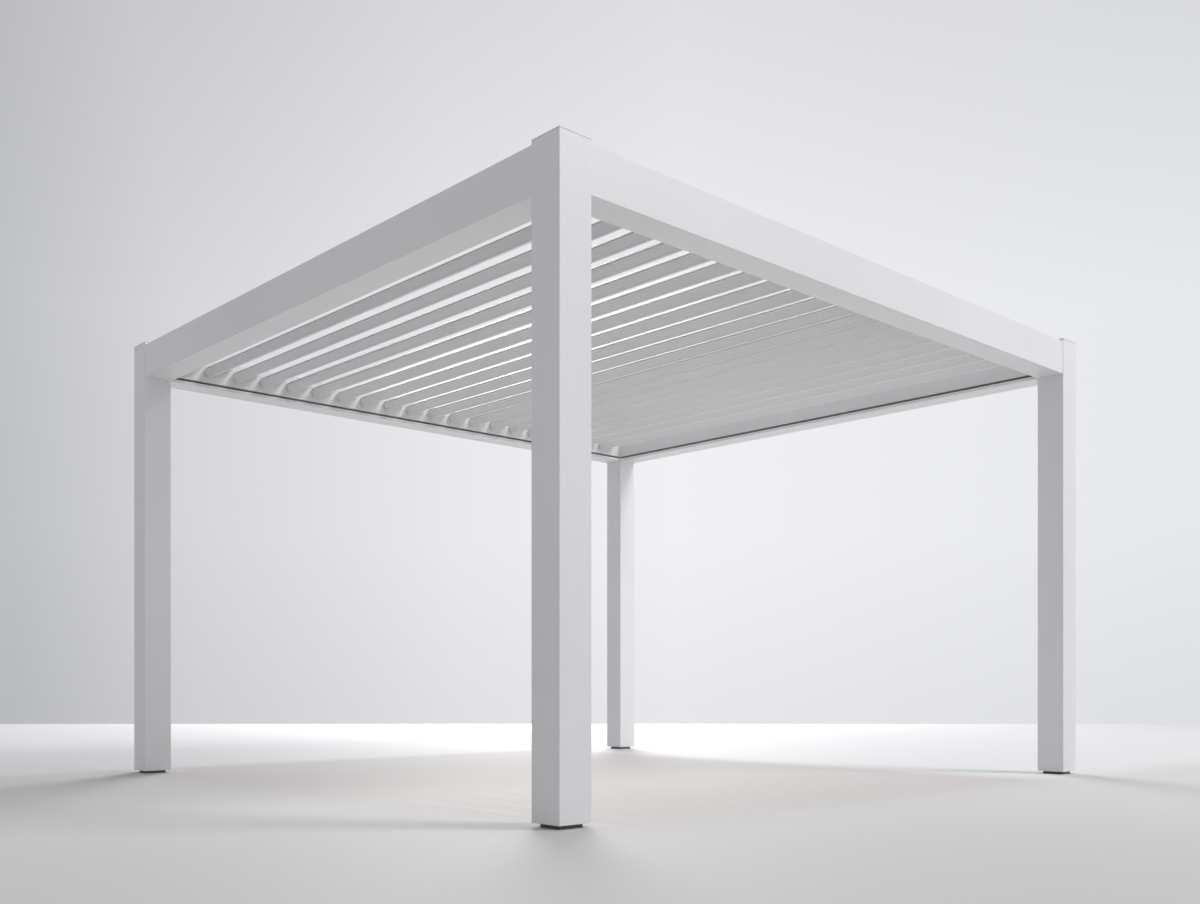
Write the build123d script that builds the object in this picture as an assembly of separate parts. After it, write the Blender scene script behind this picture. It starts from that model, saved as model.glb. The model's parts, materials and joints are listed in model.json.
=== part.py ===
from build123d import *
import os

# Free-standing louvred pergola, in millimetres
# X runs across the louvres, Y along them, Z up from the floor
# The origin is on the floor in the middle of the plan

# Plan and heights
plan_x = 4080.0
plan_y = 3910.0
overall_height = 2565.0
post_gap = 15.0

# Posts, square tubes with rounded corners
post_side = 160.0
post_wall = 3.0
post_corner = 3.0

# Cap plates with a plug that drops into the tube
cap_thick = 5.0
cap_plug = 18.0
cap_bevel = 1.5

# Feet, a low block under a plate that fills the tube
foot_side = 112.0
foot_plate = 10.0
anchor_spacing = 70.0
anchor_radius = 6.5

# Beams, box tubes with a flange along the inner side of their underside
beam_height = 190.0
beam_set_back = 3.0
beam_box = 92.0
beam_wall = 3.0
beam_drop = 13.0
web_level = 120.0
flange_height = 18.0

# Gutters, troughs above the flange with a shadow slit between
gutter_width = 62.0
slit_height = 14.0
gutter_height = 118.0
gutter_wall = 3.0
bearing_wall = 8.0

# Louvre blades, measured closed, with the pivot in the middle of the chord
blade_count = 20
blade_margin = 41.0
blade_shift = -15.0
blade_tilt = 29.0
blade_overlap = 14.0
blade_depth = 62.0
blade_skin = 1.6
blade_end_gap = 6.0
pivot_level = 131.0
seal_gap = 6.0
nose_thick = 7.0
nose_bevel = 4.0
channel_width = 20.0
channel_depth = 5.0
lip_wall = 3.0
front_radius = 9.0
front_cell_bevel = 5.0
bead_width = 2.5
bead_sink = 1.2

# Pivot pins, crank arms and the push rod that turns all blades together
pin_radius = 6.0
pin_clear = 0.3
pin_tail = 6.0
arm_length = 45.0
arm_width = 20.0
arm_thick = 5.0
arm_bevel = 5.0
arm_offset = 8.0
arm_lag = 45.0
crank_radius = 4.0
crank_tail = 2.0
small_sides = 8
rod_width = 20.0
rod_thick = 6.0
rod_gap = 1.0
rod_end = 15.0

post_height = overall_height - cap_thick - post_gap
post_inner = post_side - 2 * post_wall
beam_top = overall_height - cap_thick - beam_drop
beam_bottom = beam_top - beam_height
post_x = (plan_x - post_side) / 2
post_y = (plan_y - post_side) / 2
span_x = plan_x - 2 * post_side
span_y = plan_y - 2 * post_side
box_x = plan_x / 2 - beam_set_back - beam_box
box_y = plan_y / 2 - beam_set_back - beam_box
inner_y = box_y - gutter_width

blade_room = 2 * (box_x - gutter_width - blade_margin)
blade_pitch = (blade_room - blade_overlap) / blade_count
chord = blade_pitch + blade_overlap
blade_length = 2 * (inner_y - blade_end_gap)
first_pivot = blade_shift - blade_pitch * (blade_count - 1) / 2
pivot_z = beam_bottom + pivot_level
pivot_places = [first_pivot + blade_pitch * number for number in range(blade_count)]
arm_angle = -90.0 - arm_lag
crank_length = arm_thick + rod_gap + rod_thick + crank_tail


def between(left, right, low, high):
    return Pos((left + right) / 2, (low + high) / 2) * Rectangle(right - left, high - low)


def few_sided(radius):
    # Small repeated pins keep few faces, and turn inside the holes below
    return RegularPolygon(radius, small_sides)


def hole_around(radius):
    return RegularPolygon(radius + pin_clear, small_sides, major_radius=False)


def post():
    outline = RectangleRounded(post_side, post_side, post_corner)
    return Pos(0, 0, post_gap) * extrude(outline - Rectangle(post_inner, post_inner), post_height)


def cap():
    plate = extrude(RectangleRounded(post_side, post_side, post_corner), cap_thick)
    plate = chamfer(plate.faces().sort_by(Axis.Z)[-1].edges(), cap_bevel)
    plug = extrude(Rectangle(post_inner, post_inner), -cap_plug)
    return Pos(0, 0, post_gap + post_height) * (plate + plug)


def foot():
    holes = [place * Circle(anchor_radius) for place in GridLocations(anchor_spacing, anchor_spacing, 2, 2)]
    block = extrude(Rectangle(foot_side, foot_side) - holes, post_gap)
    plate = extrude(Rectangle(post_inner, post_inner) - holes, foot_plate)
    return block + Pos(0, 0, post_gap) * plate


def beam(length):
    # The flange points along +X, and the box lies behind X = 0
    box = between(-beam_box, 0, 0, beam_height)
    flange = between(0, gutter_width, 0, flange_height)
    lower = between(beam_wall - beam_box, -beam_wall, beam_wall, web_level)
    upper = between(beam_wall - beam_box, -beam_wall, web_level + beam_wall, beam_height - beam_wall)
    pocket = between(beam_wall, gutter_width - beam_wall, beam_wall, flange_height - beam_wall)
    section = box + flange - lower - upper - pocket
    return Pos(0, 0, beam_bottom) * extrude(Plane.XZ * section, length / 2, both=True)


def gutter(length):
    # The back wall lies against the beam at X = 0, and the bearing wall faces the blades
    outline = between(0, gutter_width, 0, gutter_height)
    trough = between(gutter_wall, gutter_width - bearing_wall, gutter_wall, gutter_height + gutter_wall)
    body = extrude(Plane.XZ * (outline - trough), length / 2, both=True)
    return Pos(0, 0, beam_bottom + flange_height + slit_height) * body


def side_gutter(direction):
    # A bearing hole for each blade's pivot pin, the same on both sides
    drill = extrude(Plane.YZ * hole_around(pin_radius), bearing_wall, both=True)
    middle = gutter_width - bearing_wall / 2
    return gutter(span_x) - [Pos(middle, direction * place, pivot_z) * drill for place in pivot_places]


def blade_section():
    front = -chord / 2
    back = chord / 2
    low = -blade_depth / 2
    top = blade_depth / 2
    nose_low = top - nose_thick
    lip_top = nose_low - seal_gap
    body_front = front + channel_width
    body_back = back - channel_width
    body = between(front, body_back, low, lip_top)
    body = fillet(body.vertices().group_by(Axis.X)[0].sort_by(Axis.Y)[0], front_radius)
    upper = between(body_front, body_back, low, top)
    nose = between(body_back, back, nose_low, top)
    nose = chamfer(nose.vertices().group_by(Axis.X)[-1].sort_by(Axis.Y)[-1], nose_bevel)
    channel = between(front + lip_wall, body_front, lip_top - channel_depth, top)
    bead = between(front, front + bead_sink, low + front_radius, low + front_radius + bead_width)
    return body + upper + nose - channel - bead


def blade_cells():
    # Three hollows inside the skin, the front one under the rain channel
    front = -chord / 2 + blade_skin + bead_sink
    back = chord / 2 - channel_width - blade_skin
    low = -blade_depth / 2 + blade_skin
    top = blade_depth / 2 - blade_skin
    shelf = blade_depth / 2 - nose_thick - seal_gap - channel_depth - blade_skin
    web = blade_skin / 2
    split = -chord / 2 + channel_width + blade_skin
    front_cell = between(front, split - blade_skin, low, shelf)
    front_cell = chamfer(front_cell.vertices().group_by(Axis.X)[0].sort_by(Axis.Y)[0], front_cell_bevel)
    return front_cell + between(split, -web, low, top) + between(web, back, low, top)


def along_y(sketch, start, length):
    # A prism that begins at Y = start and runs towards -Y
    return Pos(0, start, 0) * extrude(Plane.XZ * sketch, length)


def crank():
    arm_start = -inner_y - bearing_wall - arm_offset
    arm = Rectangle(arm_length + arm_width, arm_width)
    arm = Pos(arm_length / 2, 0) * chamfer(arm.vertices(), arm_bevel)
    crank_pin = Pos(arm_length, 0) * few_sided(crank_radius)
    lever = along_y(arm, arm_start, arm_thick) + along_y(crank_pin, arm_start, crank_length)
    return Rot(0, -arm_angle, 0) * lever


def blade():
    shell = extrude(Plane.XZ * (blade_section() - blade_cells()), blade_length / 2, both=True)
    end_plate = extrude(Plane.XZ * blade_section(), blade_skin)
    ends = Pos(0, blade_length / 2, 0) * end_plate + Pos(0, blade_skin - blade_length / 2, 0) * end_plate
    far_start = inner_y + bearing_wall + pin_tail
    far_pin = along_y(few_sided(pin_radius), far_start, far_start - blade_length / 2)
    near_pin = along_y(Circle(pin_radius), -blade_length / 2, blade_end_gap + bearing_wall + arm_offset)
    return shell + ends + far_pin + near_pin + crank()


def push_rod():
    # A flat bar along X with a hole for each crank pin, round where its own hinge is
    length = blade_pitch * (blade_count - 1) + 2 * rod_end
    start = -inner_y - bearing_wall - arm_offset - arm_thick - rod_gap
    holes = [Pos(place, 0) * hole_around(crank_radius) for place in pivot_places[1:]]
    first_hole = Pos(first_pivot, 0) * Circle(crank_radius + pin_clear)
    bar = Pos(blade_shift, 0) * Rectangle(length, rod_width)
    return along_y(bar - holes - first_hole, start, rod_thick)


def turned(shape):
    return Rot(0, -blade_tilt, 0) * shape


parts = {}
for side, sign_x, sign_y in (("front", -1, -1), ("left", -1, 1), ("right", 1, -1), ("back", 1, 1)):
    corner = Pos(sign_x * post_x, sign_y * post_y, 0)
    parts[side + "_post"] = corner * post()
    parts[side + "_post_cap"] = corner * cap()
    parts[side + "_foot"] = corner * foot()

parts["front_left_beam"] = Pos(-box_x, 0, 0) * beam(span_y)
parts["back_right_beam"] = Pos(box_x, 0, 0) * Rot(0, 0, 180) * beam(span_y)
parts["front_right_beam"] = Pos(0, -box_y, 0) * Rot(0, 0, 90) * beam(span_x)
parts["back_left_beam"] = Pos(0, box_y, 0) * Rot(0, 0, -90) * beam(span_x)
parts["front_left_gutter"] = Pos(-box_x, 0, 0) * gutter(span_y)
parts["back_right_gutter"] = Pos(box_x, 0, 0) * Rot(0, 0, 180) * gutter(span_y)
parts["front_right_gutter"] = Pos(0, -box_y, 0) * Rot(0, 0, 90) * side_gutter(-1)
parts["back_left_gutter"] = Pos(0, box_y, 0) * Rot(0, 0, -90) * side_gutter(1)

louvre = turned(blade())
for number, place in enumerate(pivot_places, start=1):
    parts[f"blade_{number:02d}"] = Pos(place, 0, pivot_z) * louvre

crank_rest = (Rot(0, 0, arm_angle + blade_tilt) * Pos(arm_length, 0, 0)).position
parts["push_rod"] = Pos(crank_rest.X, 0, pivot_z + crank_rest.Y) * push_rod()

os.makedirs("parts", exist_ok=True)
for name, solid in parts.items():
    export_step(solid, f"parts/{name}.step")
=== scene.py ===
import bpy, bmesh, json
from math import cos, sin, pi, radians
from mathutils import Matrix, Vector


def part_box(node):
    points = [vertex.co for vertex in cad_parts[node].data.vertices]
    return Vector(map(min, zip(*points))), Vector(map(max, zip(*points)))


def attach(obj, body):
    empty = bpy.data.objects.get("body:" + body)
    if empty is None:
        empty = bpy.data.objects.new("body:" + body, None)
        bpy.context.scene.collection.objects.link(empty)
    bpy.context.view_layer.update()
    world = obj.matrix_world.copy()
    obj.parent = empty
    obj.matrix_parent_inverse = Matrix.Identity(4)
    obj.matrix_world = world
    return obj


# Free-standing louvred pergola in satin white powder coat, seen from below eye level
# Metres throughout: X across the louvres, Y along them, Z up from the floor

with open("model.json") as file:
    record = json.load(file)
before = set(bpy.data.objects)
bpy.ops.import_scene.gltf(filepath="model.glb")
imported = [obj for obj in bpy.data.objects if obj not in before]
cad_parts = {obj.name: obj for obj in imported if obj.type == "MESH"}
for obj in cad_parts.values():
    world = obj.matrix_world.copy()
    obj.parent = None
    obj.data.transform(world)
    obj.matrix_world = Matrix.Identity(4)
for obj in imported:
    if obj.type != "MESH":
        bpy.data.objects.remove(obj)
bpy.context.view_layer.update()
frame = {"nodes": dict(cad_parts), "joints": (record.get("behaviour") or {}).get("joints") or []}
print("frame loaded:", len(frame["nodes"]), "nodes")


def colourOf(hexCode):  # sRGB hex to the linear values that the shaders take
    parts = [int(hexCode[i:i + 2], 16) / 255 for i in (1, 3, 5)]
    return [p / 12.92 if p <= 0.04045 else ((p + 0.055) / 1.055) ** 2.4 for p in parts] + [1.0]


def addNode(tree, kind, settings=None, links=None):
    node = tree.nodes.new(kind)
    for name, value in (settings or {}).items():
        if isinstance(name, int) or name in node.inputs:
            node.inputs[name].default_value = value
        else:
            setattr(node, name, value)
    for name, source in (links or {}).items():
        tree.links.new(source, node.inputs[name])
    return node


def newMaterial(name):
    material = bpy.data.materials.new(name)
    material.use_nodes = True
    material.node_tree.nodes.clear()
    return material, material.node_tree


def perMm(size):  # noise scale for a pattern of that size in millimetres
    return 1000.0 / size


# Satin polyester powder coat on extruded aluminium: soft sheen, faint orange peel, hardly any wear
coatLook = {
    "frame": {"colour": "#E2E2E3", "shade": "#D9D9DA", "roughness": 0.42,
              "peelMm": 7.0, "peelDepth": 0.00005},
    # The blades take the same coat as the frame, painted a little lighter: painted light that brightens their
    # shaded faces
    "blade": {"colour": "#E6E6E7", "shade": "#DEDEDF", "roughness": 0.45,
              "peelMm": 6.0, "peelDepth": 0.00006},
    "cap": {"colour": "#BEBFC1", "shade": "#B5B6B8", "roughness": 0.5,
            "peelMm": 6.0, "peelDepth": 0.00004},
    "ior": 1.5, "cloudMm": 900.0, "cloudDetail": 3.0, "glossSpread": (-0.04, 0.06),
    "peelDetail": 2.0, "peelStrength": 0.5, "edgeRadius": 0.0018, "edgeSamples": 4,
    "dieLineMm": 14.0, "dieLineDetail": 1.0, "dieStretch": 0.004,
    # Faces that point up take a painted shade: a darker warm grey, where it starts and how much of it shows
    "topShade": "#CFCCC6", "topShadeFrom": 0.6, "topShadeMost": 0.25,
}


def powderCoat(name, look, dieLines):
    material, tree = newMaterial(name)
    place = addNode(tree, "ShaderNodeTexCoord").outputs["Object"]
    cloud = addNode(tree, "ShaderNodeTexNoise",
                    {"Scale": perMm(coatLook["cloudMm"]), "Detail": coatLook["cloudDetail"]},
                    {"Vector": place}).outputs["Fac"]
    # The real peel is about 2 mm across and wouldn't show, so it is drawn three times as coarse
    height = addNode(tree, "ShaderNodeTexNoise",
                     {"Scale": perMm(look["peelMm"]), "Detail": coatLook["peelDetail"]},
                     {"Vector": place}).outputs["Fac"]
    if dieLines:  # faint lines that the extrusion die leaves along the profile
        along = addNode(tree, "ShaderNodeMapping", {"Scale": (1.0, coatLook["dieStretch"], 1.0)},
                        {"Vector": place})
        line = addNode(tree, "ShaderNodeTexNoise",
                       {"Scale": perMm(coatLook["dieLineMm"]), "Detail": coatLook["dieLineDetail"]},
                       {"Vector": along.outputs[0]})
        both = addNode(tree, "ShaderNodeMath", {"operation": "ADD"}, {0: height, 1: line.outputs["Fac"]})
        height = both.outputs[0]
    edge = addNode(tree, "ShaderNodeBevel",
                   {"samples": coatLook["edgeSamples"], "Radius": coatLook["edgeRadius"]})
    bump = addNode(tree, "ShaderNodeBump",
                   {"Strength": coatLook["peelStrength"], "Distance": look["peelDepth"]},
                   {"Height": height, "Normal": edge.outputs[0]})
    tone = addNode(tree, "ShaderNodeMix",
                   {"data_type": "RGBA", 6: colourOf(look["shade"]), 7: colourOf(look["colour"])}, {0: cloud})
    # Faces that point up are painted a darker warm grey: painted shade that holds back the light on them
    facing = addNode(tree, "ShaderNodeNewGeometry").outputs["Normal"]
    upward = addNode(tree, "ShaderNodeSeparateXYZ", None, {0: facing}).outputs["Z"]
    topShadeMask = addNode(tree, "ShaderNodeMapRange",
                      {"From Min": coatLook["topShadeFrom"], "From Max": 1.0, "To Max": coatLook["topShadeMost"]},
                      {"Value": upward})
    topShaded = addNode(tree, "ShaderNodeMix", {"data_type": "RGBA", 7: colourOf(coatLook["topShade"])},
                    {0: topShadeMask.outputs[0], 6: tone.outputs[2]})
    smoothest, roughest = (look["roughness"] + change for change in coatLook["glossSpread"])
    matt = addNode(tree, "ShaderNodeMapRange", {"To Min": smoothest, "To Max": roughest}, {"Value": cloud})
    coat = addNode(tree, "ShaderNodeBsdfPrincipled", {"IOR": coatLook["ior"]},
                   {"Base Color": topShaded.outputs[2], "Roughness": matt.outputs[0], "Normal": bump.outputs[0]})
    addNode(tree, "ShaderNodeOutputMaterial", None, {"Surface": coat.outputs[0]})
    return material


# Uncoated parts, all with a faint grain along X
# foot: aluminium block, dull, painted nearly black as painted shade for its recess
# rod: mill-finish bar, streaky and half bright
# clip: spring steel, the brightest of them
# bush: moulded polyamide, black with a soft gloss
# seal: extruded rubber, matt, its near-white colour partly a painted highlight for the bright line along each
# lip
bareLook = {
    "foot": {"colour": "#66686B", "metallic": 0.35, "roughness": 0.5, "grainMm": 3.0},
    "rod": {"colour": "#B9BBBD", "metallic": 1.0, "roughness": 0.34, "grainMm": 1.5},
    "clip": {"colour": "#C3C4C2", "metallic": 1.0, "roughness": 0.28, "grainMm": 1.0},
    "bush": {"colour": "#232426", "metallic": 0.0, "roughness": 0.42, "grainMm": 1.2},
    "seal": {"colour": "#F4F4F3", "metallic": 0.0, "roughness": 0.6, "grainMm": 1.5},
    "grainStretch": 0.02, "grainDetail": 3.0, "grainStrength": 0.4, "grainDepth": 0.00004,
    "glossSpread": (-0.08, 0.1), "edgeRadius": 0.0006, "edgeSamples": 4,
}


def bareFinish(name, look):
    material, tree = newMaterial(name)
    place = addNode(tree, "ShaderNodeTexCoord").outputs["Object"]
    drawn = addNode(tree, "ShaderNodeMapping", {"Scale": (bareLook["grainStretch"], 1.0, 1.0)},
                    {"Vector": place})
    grain = addNode(tree, "ShaderNodeTexNoise",
                    {"Scale": perMm(look["grainMm"]), "Detail": bareLook["grainDetail"]},
                    {"Vector": drawn.outputs[0]}).outputs["Fac"]
    smoothest, roughest = (look["roughness"] + change for change in bareLook["glossSpread"])
    matt = addNode(tree, "ShaderNodeMapRange", {"To Min": smoothest, "To Max": roughest}, {"Value": grain})
    edge = addNode(tree, "ShaderNodeBevel",
                   {"samples": bareLook["edgeSamples"], "Radius": bareLook["edgeRadius"]})
    bump = addNode(tree, "ShaderNodeBump",
                   {"Strength": bareLook["grainStrength"], "Distance": bareLook["grainDepth"]},
                   {"Height": grain, "Normal": edge.outputs[0]})
    skin = addNode(tree, "ShaderNodeBsdfPrincipled",
                   {"Base Color": colourOf(look["colour"]), "Metallic": look["metallic"]},
                   {"Roughness": matt.outputs[0], "Normal": bump.outputs[0]})
    addNode(tree, "ShaderNodeOutputMaterial", None, {"Surface": skin.outputs[0]})
    return material


frameCoat = powderCoat("satinPowderCoatFrame", coatLook["frame"], False)
bladeCoat = powderCoat("satinPowderCoatBladeLightened", coatLook["blade"], True)
capCoat = powderCoat("satinPowderCoatCap", coatLook["cap"], False)
footMetal = bareFinish("footAluminiumPaintedShade", bareLook["foot"])
rodMetal = bareFinish("millFinishAluminium", bareLook["rod"])
clipSteel = bareFinish("springSteel", bareLook["clip"])
blackNylon = bareFinish("mouldedPolyamide", bareLook["bush"])
sealHighlightRubber = bareFinish("extrudedRubberSealHighlight", bareLook["seal"])

for name, node in frame["nodes"].items():
    finish = frameCoat
    if name.startswith("blade"):
        finish = bladeCoat
    elif name.endswith("_cap"):
        finish = capCoat
    elif name.endswith("_foot"):
        finish = footMetal
    elif name == "push_rod":
        finish = rodMetal
    for meshSlot in node.material_slots:
        meshSlot.material = finish
print("finishes made")

# The turning gear, sized as in part.py and placed by the frame's own joints
roof = {
    "wallThick": 0.008, "endGap": 0.006, "pin": 0.006, "pinTail": 0.006, "crankPin": 0.004,
    "armOffset": 0.008, "armThick": 0.005, "rodGap": 0.001, "rodThick": 0.006,
}
pivots = {joint["child"]: Vector(joint["pos_m"]) for joint in frame["joints"]}
blades = [name for name in frame["nodes"] if name.startswith("blade")]
pivotHeight = pivots[blades[0]].z
tilt = radians(-frame["joints"][0]["range_deg"][0])  # how far the blades stand open at rest
wall = -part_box("front_right_gutter")[1].y  # inner face of the bearing walls, on either side
bladeEnd = wall - roof["endGap"]
crankReach = pivots["push_rod"] - pivots[blades[0]]
headShape = {"centre": 0.0001, "rim": 0.4, "crown": 0.85}  # rim and crown as shares of the height
sharpFrom = radians(35)  # edges steeper than this stay crisp


def turnProfile(mesh, profile, centre, steps, materialIndex=0, sweep=2 * pi):
    # Turns a closed outline of (radius, along Y) about an axis through centre
    whole = sweep == 2 * pi
    rings = []
    for step in range(steps if whole else steps + 1):
        angle = sweep * step / steps
        rings.append([mesh.verts.new((centre[0] + r * cos(angle), centre[1] + y, centre[2] + r * sin(angle)))
                      for r, y in profile])
    pairs = zip(rings, rings[1:] + rings[:1]) if whole else zip(rings, rings[1:])
    faces = []
    for one, two in pairs:
        for i in range(len(profile)):
            j = (i + 1) % len(profile)
            faces.append(mesh.faces.new((one[i], one[j], two[j], two[i])))
    if not whole:
        faces += [mesh.faces.new(rings[0]), mesh.faces.new(rings[-1])]
    for face in faces:
        face.material_index = materialIndex
        face.smooth = True


def ringProfile(inner, outer, low, high, soft):
    # A flat ring with softened edges
    return [(inner, low), (outer - soft, low), (outer, low + soft),
            (outer, high - soft), (outer - soft, high), (inner, high)]


def headProfile(radius, low, high, soft):
    # A pan head that closes on its axis
    rise = high - low
    return [(headShape["centre"], low), (radius, low), (radius, low + rise * headShape["rim"]),
            (radius - soft, low + rise * headShape["crown"]), (headShape["centre"], high)]


def finishPiece(mesh, name, materials, body):
    bmesh.ops.recalc_face_normals(mesh, faces=mesh.faces)
    data = bpy.data.meshes.new(name)
    mesh.to_mesh(data)
    mesh.free()
    for material in materials:
        data.materials.append(material)
    piece = bpy.data.objects.new(name, data)
    bpy.context.scene.collection.objects.link(piece)
    data.set_sharp_from_angle(angle=sharpFrom)
    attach(piece, body)


# Flanged plastic bushes in the bearing holes, one mesh for each gutter
bush = {
    "inner": 0.0062, "flange": 0.0115, "flangeThick": 0.0022,
    "snap": 0.009, "snapThick": 0.0016, "soft": 0.0004, "steps": 24,
}
for side, label in ((-1, "near"), (1, "far")):
    mesh = bmesh.new()
    wallIn = side * wall
    wallOut = side * (wall + roof["wallThick"])
    inner = sorted((wallIn - side * bush["flangeThick"], wallIn))
    outer = sorted((wallOut, wallOut + side * bush["snapThick"]))
    flange = ringProfile(bush["inner"], bush["flange"], *inner, bush["soft"])
    snapRing = ringProfile(bush["inner"], bush["snap"], *outer, bush["soft"])
    for blade in blades:
        spot = (pivots[blade].x, 0.0, pivotHeight)
        turnProfile(mesh, flange, spot, bush["steps"])
        turnProfile(mesh, snapRing, spot, bush["steps"])
    finishPiece(mesh, label + "Bushes", [blackNylon], "frame")

# What each blade carries: spacer, arm screw, crank washer, far clip, end-plate screws
gear = {
    "spacer": 0.009, "spacerSlack": 0.0003, "spacerSoft": 0.0004, "spacerSteps": 20,
    "screw": 0.0052, "screwHeight": 0.0032, "screwSoft": 0.0012, "screwSides": 6,
    "washer": 0.0075, "washerThick": 0.0008, "washerFit": 0.0001, "washerSteps": 16,
    "clip": 0.0088, "clipBite": 0.001, "clipThick": 0.0011, "clipSweep": radians(300), "clipSteps": 20,
    "thinSoft": 0.0002,
    "plateScrew": 0.0036, "plateScrewHeight": 0.0018, "plateScrewSoft": 0.0008, "plateScrewSteps": 10,
    "plateSpots": ((-0.055, 0.003), (0.0, -0.008), (0.055, 0.003)),
}
turn = Matrix.Rotation(-tilt, 3, "Y")
armIn = -wall - roof["wallThick"] - roof["armOffset"]
armOut = armIn - roof["armThick"]
rodOut = armOut - roof["rodGap"] - roof["rodThick"]
farClip = wall + roof["wallThick"] + roof["pinTail"] / 2
spacerIn = armIn + gear["spacerSlack"]
spacerOut = armIn + roof["armOffset"] - bush["snapThick"] - gear["spacerSlack"]
spacer = ringProfile(roof["pin"], gear["spacer"], spacerIn, spacerOut, gear["spacerSoft"])
armScrew = headProfile(gear["screw"], armOut, armOut - gear["screwHeight"], gear["screwSoft"])
washer = ringProfile(roof["crankPin"] + gear["washerFit"], gear["washer"], rodOut - gear["washerThick"],
                     rodOut - gear["washerFit"], gear["thinSoft"])
clip = ringProfile(roof["pin"] - gear["clipBite"], gear["clip"], farClip, farClip + gear["clipThick"],
                   gear["thinSoft"])
for blade in blades:
    mesh = bmesh.new()
    axis = Vector((pivots[blade].x, 0.0, pivotHeight))
    crank = (axis.x + crankReach.x, 0.0, axis.z + crankReach.z)
    turnProfile(mesh, spacer, axis, gear["spacerSteps"])
    turnProfile(mesh, armScrew, axis, gear["screwSides"], 1)
    turnProfile(mesh, washer, crank, gear["washerSteps"], 1)
    turnProfile(mesh, clip, axis, gear["clipSteps"], 1, gear["clipSweep"])
    for across, up in gear["plateSpots"]:
        spot = axis + turn @ Vector((across, 0.0, up))
        for side in (-1, 1):
            base = side * bladeEnd
            tip = base + side * gear["plateScrewHeight"]
            plateScrew = headProfile(gear["plateScrew"], base, tip, gear["plateScrewSoft"])
            turnProfile(mesh, plateScrew, spot, gear["plateScrewSteps"], 1)
    finishPiece(mesh, blade.replace("blade_", "bladeGear"), [blackNylon, clipSteel], blade)
print("turning gear made")

# A pale rubber bulb seal sits along each blade's lip, where the next blade closes on it; its near-white
# colour also serves as a painted highlight for the bright line along each lip
# Across and up are measured from the pivot with the blade closed
seal = {
    "across": -0.0972, "up": 0.0209, "radius": 0.0026, "footHalf": 0.0012, "inset": 0.004,
    "steps": 12, "from": -pi / 3,
}
bulb = [(seal["from"] + 2 * pi * i / seal["steps"]) for i in range(seal["steps"] - 1)]
outline = [Vector((seal["across"] + seal["radius"] * cos(a), 0.0, seal["up"] + seal["radius"] * sin(a)))
           for a in bulb]
outline += [Vector((seal["across"] + half, 0.0, seal["up"] - seal["radius"]))
            for half in (-seal["footHalf"], seal["footHalf"])]
for blade in blades:
    mesh = bmesh.new()
    rings = []
    for side in (-1, 1):
        shift = Vector((pivots[blade].x, side * (bladeEnd - seal["inset"]), pivotHeight))
        rings.append([mesh.verts.new(turn @ point + shift) for point in outline])
    for i in range(len(outline)):
        j = (i + 1) % len(outline)
        mesh.faces.new((rings[0][i], rings[0][j], rings[1][j], rings[1][i])).smooth = True
    for ring in rings:
        mesh.faces.new(ring)
    finishPiece(mesh, blade.replace("blade_", "lipSeal"), [sealHighlightRubber], blade)
print("lip seals made")

# Floor and backdrop stand in for the studio; they aren't part of the pergola
studio = {
    "eye": (-4.8887, -5.2328, 0.534), "facing": (0.6813, 0.7320), "lens": 35.805, "shiftY": 0.1931,
    "sensor": 36.0, "clipEnd": 100.0, "floorReach": 8.7, "floorRoughness": 0.75, "floorSpecular": 0.25,
    # Floor tones: painted shade in front, a painted shadow of the roof under it, and a painted pool of light
    # behind
    "frontFloorShade": "#BFBEBE", "roofShadowFloor": "#B5B0AF", "litFloorPatch": "#C9C9CA",
    "lines": {"right": ("X", 1.45, 0.22), "left": ("X", -2.1, 0.35),
              "front": ("Y", -2.15, 0.35), "behind": ("Y", 2.15, 0.22)},
}
ahead = Vector((studio["facing"][0], studio["facing"][1], 0.0))
aside = Vector((studio["facing"][1], -studio["facing"][0], 0.0))

mesh = bmesh.new()
corners = [mesh.verts.new((ahead * a + aside * b) * studio["floorReach"])
           for a, b in ((-1, -1), (-1, 1), (1, 1), (1, -1))]
mesh.faces.new(corners)
bmesh.ops.recalc_face_normals(mesh, faces=mesh.faces)
data = bpy.data.meshes.new("studioFloor")
mesh.to_mesh(data)
mesh.free()
floor = bpy.data.objects.new("studioFloor", data)
bpy.context.scene.collection.objects.link(floor)

# Matt floor with painted light and shadow: a painted pool of light behind and to the right of the roof,
# painted shade in front and a painted roof shadow under it
floorPaint, tree = newMaterial("mattFloorPaintedLightAndShadow")
place = addNode(tree, "ShaderNodeTexCoord").outputs["Object"]
spot = addNode(tree, "ShaderNodeSeparateXYZ", None, {0: place})
past = {}  # 0 before each line, 1 past it
for name, (axis, line, soft) in studio["lines"].items():
    step = addNode(tree, "ShaderNodeMapRange",
                   {"interpolation_type": "SMOOTHSTEP", "From Min": line - soft, "From Max": line + soft},
                   {"Value": spot.outputs[axis]})
    past[name] = step.outputs[0]
side = addNode(tree, "ShaderNodeMath", {"operation": "MULTIPLY"}, {0: past["right"], 1: past["front"]})
bright = addNode(tree, "ShaderNodeMath", {"operation": "MAXIMUM"}, {0: side.outputs[0], 1: past["behind"]})
roofShadowMask = addNode(tree, "ShaderNodeMath", {"operation": "MULTIPLY"}, {0: past["left"], 1: past["front"]})
dark = addNode(tree, "ShaderNodeMix",
               {"data_type": "RGBA", 6: colourOf(studio["frontFloorShade"]), 7: colourOf(studio["roofShadowFloor"])},
               {0: roofShadowMask.outputs[0]})
tone = addNode(tree, "ShaderNodeMix", {"data_type": "RGBA", 7: colourOf(studio["litFloorPatch"])},
               {0: bright.outputs[0], 6: dark.outputs[2]})
paint = addNode(tree, "ShaderNodeBsdfPrincipled",
                {"Roughness": studio["floorRoughness"], "Specular IOR Level": studio["floorSpecular"]},
                {"Base Color": tone.outputs[2]})
addNode(tree, "ShaderNodeOutputMaterial", None, {"Surface": paint.outputs[0]})
floor.data.materials.append(floorPaint)

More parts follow.
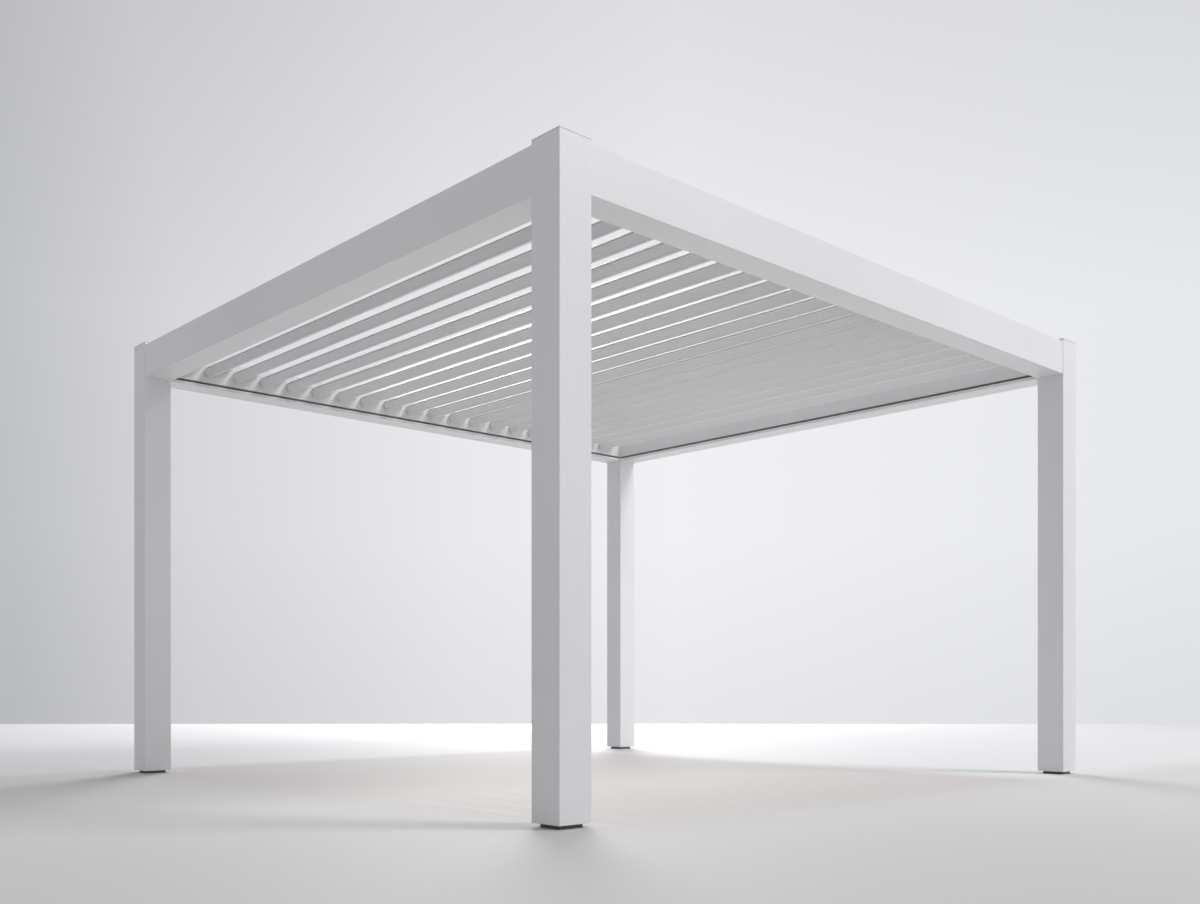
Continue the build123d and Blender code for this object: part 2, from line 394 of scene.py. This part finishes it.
# The camera stands level, low beside the front post, as in the photograph
camera = bpy.data.objects.new("camera", bpy.data.cameras.new("camera"))
bpy.context.scene.collection.objects.link(camera)
camera.location = studio["eye"]
camera.rotation_mode = "QUATERNION"
camera.rotation_quaternion = ahead.to_track_quat("-Z", "Y")
camera.data.lens = studio["lens"]
camera.data.sensor_width = studio["sensor"]
camera.data.sensor_fit = "HORIZONTAL"
camera.data.shift_y = studio["shiftY"]
camera.data.clip_end = studio["clipEnd"]
bpy.context.scene.camera = camera

# Soft lamps, and a narrow one that shines down between the blades: size in metres, cone in degrees
lamps = {
    "keyRight": {"place": (9.0, -16.0, 5.0), "aim": (0.0, 0.0, 1.0), "size": 9.0, "watts": 95.0},
    "keyHigh": {"place": (6.0, -11.0, 13.0), "aim": (0.0, -1.0, 1.5), "size": 6.0, "watts": 1465.0},
    "backFill": {"place": (9.0, 11.0, 6.0), "aim": (0.0, 0.0, 1.5), "size": 8.0, "watts": 1890.0},
    "underFill": {"place": (0.0, 0.0, 0.03), "aim": (0.0, 0.0, 3.0), "size": 3.2, "watts": 12.0},
    "backSpot": {"place": (4.5, -5.5, 1.4), "aim": (1.96, 1.875, 1.2), "size": 0.8, "watts": 180.0,
                 "cone": 24.0, "blend": 0.6},
    "stripeSpot": {"place": (6.4, -0.3, 19.5), "aim": (-0.44, 0.0, 0.0), "size": 0.09, "watts": 4500.0,
                   "cone": 30.0, "blend": 0.0, "doors": (0.104, 0.0665), "doorsSoft": 0.03},
}
for name, lamp in lamps.items():
    light = bpy.data.lights.new(name, "SPOT" if "cone" in lamp else "AREA")
    light.energy = lamp["watts"]
    if "cone" in lamp:
        light.shadow_soft_size = lamp["size"] / 2
        light.spot_size = radians(lamp["cone"])
        light.spot_blend = lamp["blend"]
    else:
        light.shape = "DISK"
        light.size = lamp["size"]
    if "doors" in lamp:  # barn doors cut the round beam to a rectangle
        light.use_nodes = True
        tree = light.node_tree
        tree.nodes.clear()
        way = addNode(tree, "ShaderNodeSeparateXYZ", None,
                      {0: addNode(tree, "ShaderNodeTexCoord").outputs["Normal"]})
        doors = []
        for axis, reach in zip("XY", lamp["doors"]):
            slope = addNode(tree, "ShaderNodeMath", {"operation": "DIVIDE"},
                            {0: way.outputs[axis], 1: way.outputs["Z"]})
            width = addNode(tree, "ShaderNodeMath", {"operation": "ABSOLUTE"}, {0: slope.outputs[0]})
            door = addNode(tree, "ShaderNodeMapRange",
                           {"From Min": reach * (1 - lamp["doorsSoft"]),
                            "From Max": reach * (1 + lamp["doorsSoft"]), "To Min": 1.0, "To Max": 0.0},
                           {"Value": width.outputs[0]})
            doors.append(door.outputs[0])
        both = addNode(tree, "ShaderNodeMath", {"operation": "MULTIPLY"}, {0: doors[0], 1: doors[1]})
        beam = addNode(tree, "ShaderNodeEmission", None, {"Strength": both.outputs[0]})
        addNode(tree, "ShaderNodeOutputLight", None, {"Surface": beam.outputs[0]})
    holder = bpy.data.objects.new(name, light)
    holder.location = lamp["place"]
    holder.rotation_mode = "QUATERNION"
    holder.rotation_quaternion = (Vector(lamp["aim"]) - Vector(lamp["place"])).to_track_quat("-Z", "Y")
    holder.visible_camera = False
    bpy.context.scene.collection.objects.link(holder)

# The world lights evenly; camera and gloss see a pale wall with painted shade, darker to the left, above and
# near the floor
wallLook = {
    "ambient": "#F5F6F9", "ambientLevel": 0.612, "halfSpan": 0.5,
    "leftToRight": ((-0.44, "#C0C1C5"), (-0.32, "#D7D7DA"), (-0.12, "#E9E9EC"),
                    (0.06, "#F1F1F4"), (0.44, "#E7E8EA")),
    "upper": {"From Min": 0.28, "From Max": 0.52, "To Min": 1.0, "To Max": 0.82},
    "lower": {"From Min": -0.02, "From Max": 0.12, "To Min": 0.92, "To Max": 1.0},
}
world = bpy.data.worlds.new("studioWall")
bpy.context.scene.world = world
world.use_nodes = True
tree = world.node_tree
tree.nodes.clear()
way = addNode(tree, "ShaderNodeTexCoord").outputs["Generated"]
swing = addNode(tree, "ShaderNodeVectorMath", {"operation": "DOT_PRODUCT", 1: aside}, {0: way})
across = addNode(tree, "ShaderNodeMapRange",
                 {"From Min": -wallLook["halfSpan"], "From Max": wallLook["halfSpan"]},
                 {"Value": swing.outputs["Value"]})
backdrop = addNode(tree, "ShaderNodeValToRGB", None, {0: across.outputs[0]})
stops = backdrop.color_ramp.elements
while len(stops) < len(wallLook["leftToRight"]):
    stops.new(wallLook["halfSpan"])
for stop, (offset, hexCode) in zip(stops, wallLook["leftToRight"]):
    stop.position = offset + wallLook["halfSpan"]
    stop.color = colourOf(hexCode)
height = addNode(tree, "ShaderNodeSeparateXYZ", None, {0: way}).outputs["Z"]
upper = addNode(tree, "ShaderNodeMapRange", wallLook["upper"], {"Value": height})
lower = addNode(tree, "ShaderNodeMapRange", wallLook["lower"], {"Value": height})
fall = addNode(tree, "ShaderNodeMath", {"operation": "MULTIPLY"}, {0: upper.outputs[0], 1: lower.outputs[0]})
shown = addNode(tree, "ShaderNodeBackground", None,
                {"Color": backdrop.outputs[0], "Strength": fall.outputs[0]})
even = addNode(tree, "ShaderNodeBackground",
               {"Color": colourOf(wallLook["ambient"]), "Strength": wallLook["ambientLevel"]})
ray = addNode(tree, "ShaderNodeLightPath")
seen = addNode(tree, "ShaderNodeMath", {"operation": "MAXIMUM"},
               {0: ray.outputs["Is Camera Ray"], 1: ray.outputs["Is Glossy Ray"]})
mixed = addNode(tree, "ShaderNodeMixShader", None,
                {0: seen.outputs[0], 1: even.outputs[0], 2: shown.outputs[0]})
addNode(tree, "ShaderNodeOutputWorld", None, {"Surface": mixed.outputs[0]})
bpy.context.scene.view_settings.view_transform = "Standard"
print("studio, lamps and camera made")
